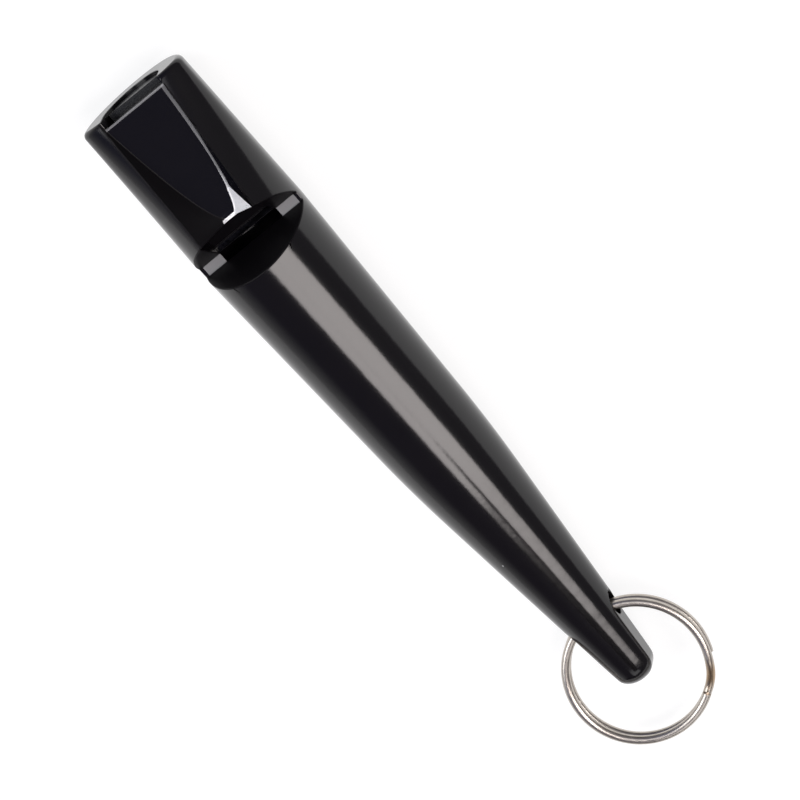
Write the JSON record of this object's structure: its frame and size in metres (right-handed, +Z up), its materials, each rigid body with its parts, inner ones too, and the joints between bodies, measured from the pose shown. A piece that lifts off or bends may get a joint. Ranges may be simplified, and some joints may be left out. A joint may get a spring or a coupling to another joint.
{
  "type": "dog whistle",
  "caption": "Slim moulded whistle with a flattened beak, a cross notch with its window, a long taper and a split ring that swings in the tail hole. Blown to call a dog.",
  "frame": {"origin": "under the middle of the whole, on the surface that the whistle lies on", "axes": "+X from the mouth end towards the split ring, +Y across, +Z up out of the window"},
  "size_m": [0.0892, 0.0162, 0.0133],
  "materials": {
    "black_gloss": "polished black moulding",
    "inner_black": "black moulding, as moulded",
    "plated_steel": "bright nickel plate"
  },
  "bodies": {
    "whistle": {"body": "black_gloss", "windway_block": "inner_black", "pitch_plug": "inner_black"},
    "ring": {"split_ring": "plated_steel"}
  },
  "joints": [
    {"name": "ring_swing", "type": "hinge", "parent": "whistle", "child": "ring", "pos_m": [0.02926, 0, 0.00463], "axis": [0, -1, 0], "range_deg": [-150, 150]}
  ]
}
